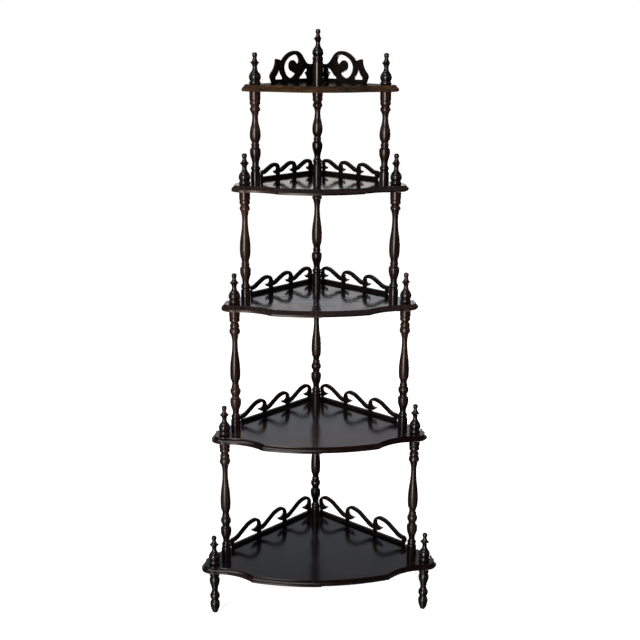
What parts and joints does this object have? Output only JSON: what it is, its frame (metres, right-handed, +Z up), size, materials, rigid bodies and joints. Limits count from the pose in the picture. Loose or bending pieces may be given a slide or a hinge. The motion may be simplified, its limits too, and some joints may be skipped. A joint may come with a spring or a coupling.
{
  "type": "corner etagere",
  "caption": "Tall stepped corner etagere with shaped moulded shelves on turned spindles, pierced wave galleries on the back edges, a scrolled crest, finials and short turned legs.",
  "frame": {"origin": "centre, on the floor, of the rectangle that the shelves cover", "axes": "+Z up, -Y the front that faces the room, +Y the corner of the walls, +X to the right as seen from the front"},
  "size_m": [0.6362, 0.4588, 1.54],
  "materials": {
    "shelf_lacquer": "dark mahogany lacquer, high gloss",
    "turned_lacquer": "dark mahogany lacquer, gloss",
    "fretwork_lacquer": "dark mahogany lacquer, gloss",
    "screw_steel": "zinc plated",
    "pin_wood": "bare wood"
  },
  "bodies": {
    "root": {"shelf_top": "shelf_lacquer", "shelf_second": "shelf_lacquer", "shelf_third": "shelf_lacquer", "shelf_fourth": "shelf_lacquer", "shelf_bottom": "shelf_lacquer", "spindle_left_top": "turned_lacquer", "spindle_right_top": "turned_lacquer", "spindle_rear_top": "turned_lacquer", "spindle_left_upper": "turned_lacquer", "spindle_right_upper": "turned_lacquer", "spindle_rear_upper": "turned_lacquer", "spindle_left_lower": "turned_lacquer", "spindle_right_lower": "turned_lacquer", "spindle_rear_lower": "turned_lacquer", "spindle_left_bottom": "turned_lacquer", "spindle_right_bottom": "turned_lacquer", "spindle_rear_bottom": "turned_lacquer", "finial_left_top": "turned_lacquer", "finial_left_second": "turned_lacquer", "finial_left_third": "turned_lacquer", "finial_left_fourth": "turned_lacquer", "finial_left_bottom": "turned_lacquer", "finial_right_top": "turned_lacquer", "finial_right_second": "turned_lacquer", "finial_right_third": "turned_lacquer", "finial_right_fourth": "turned_lacquer", "finial_right_bottom": "turned_lacquer", "finial_rear": "turned_lacquer", "crest_post": "turned_lacquer", "leg_left": "turned_lacquer", "leg_right": "turned_lacquer", "leg_rear": "turned_lacquer", "gallery_left_second": "fretwork_lacquer", "gallery_left_third": "fretwork_lacquer", "gallery_left_fourth": "fretwork_lacquer", "gallery_left_bottom": "fretwork_lacquer", "crest_panel_left": "fretwork_lacquer", "gallery_right_second": "fretwork_lacquer", "gallery_right_third": "fretwork_lacquer", "gallery_right_fourth": "fretwork_lacquer", "gallery_right_bottom": "fretwork_lacquer", "crest_panel_right": "fretwork_lacquer", "joining_screws": "screw_steel", "foot_screws": "screw_steel", "gallery_pins": "pin_wood", "crest_dowel": "pin_wood"}
  },
  "joints": []
}
